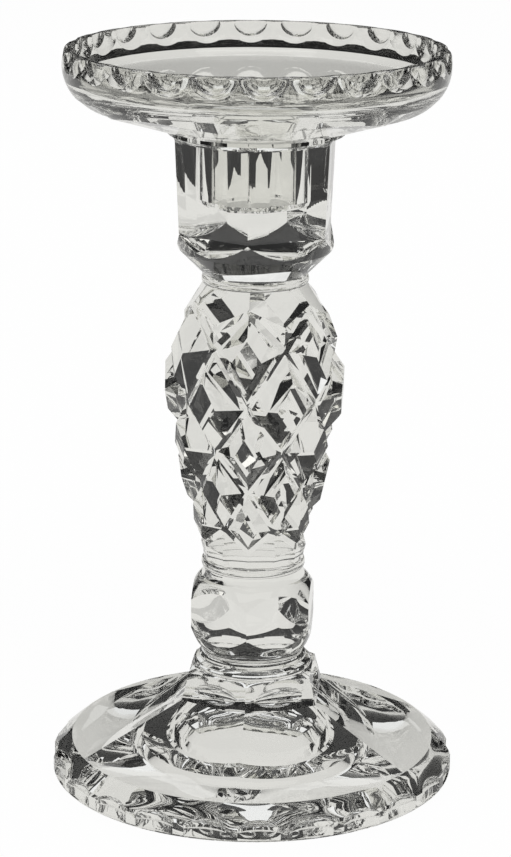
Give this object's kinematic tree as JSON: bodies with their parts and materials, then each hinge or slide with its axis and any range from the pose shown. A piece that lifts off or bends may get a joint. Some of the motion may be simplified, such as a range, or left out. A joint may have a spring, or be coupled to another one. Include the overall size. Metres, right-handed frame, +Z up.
{
  "type": "candlestick",
  "caption": "Clear glass candlestick for a taper candle: scalloped drip dish, six-sided socket, diamond-cut baluster stem and petalled scalloped foot.",
  "frame": {"origin": "centre of the rest face under the foot", "axes": "+Z up the stem's axis, a corner of the six-sided stem faces -Y"},
  "size_m": [0.104, 0.104, 0.1883],
  "materials": {
    "foot": "clear polished lead-type glass",
    "hex_collar": "clear polished lead-type glass",
    "base_ring": "clear polished lead-type glass",
    "lower_knop": "clear polished lead-type glass",
    "waist_ring": "clear polished lead-type glass",
    "diamond_baluster": "clear polished lead-type glass",
    "neck_ring": "clear polished lead-type glass",
    "candle_socket": "clear polished lead-type glass",
    "drip_dish": "clear polished lead-type glass"
  },
  "bodies": {
    "root": {"foot": "foot", "hex_collar": "hex_collar", "base_ring": "base_ring", "lower_knop": "lower_knop", "waist_ring": "waist_ring", "diamond_baluster": "diamond_baluster", "neck_ring": "neck_ring", "candle_socket": "candle_socket", "drip_dish": "drip_dish"}
  },
  "joints": []
}
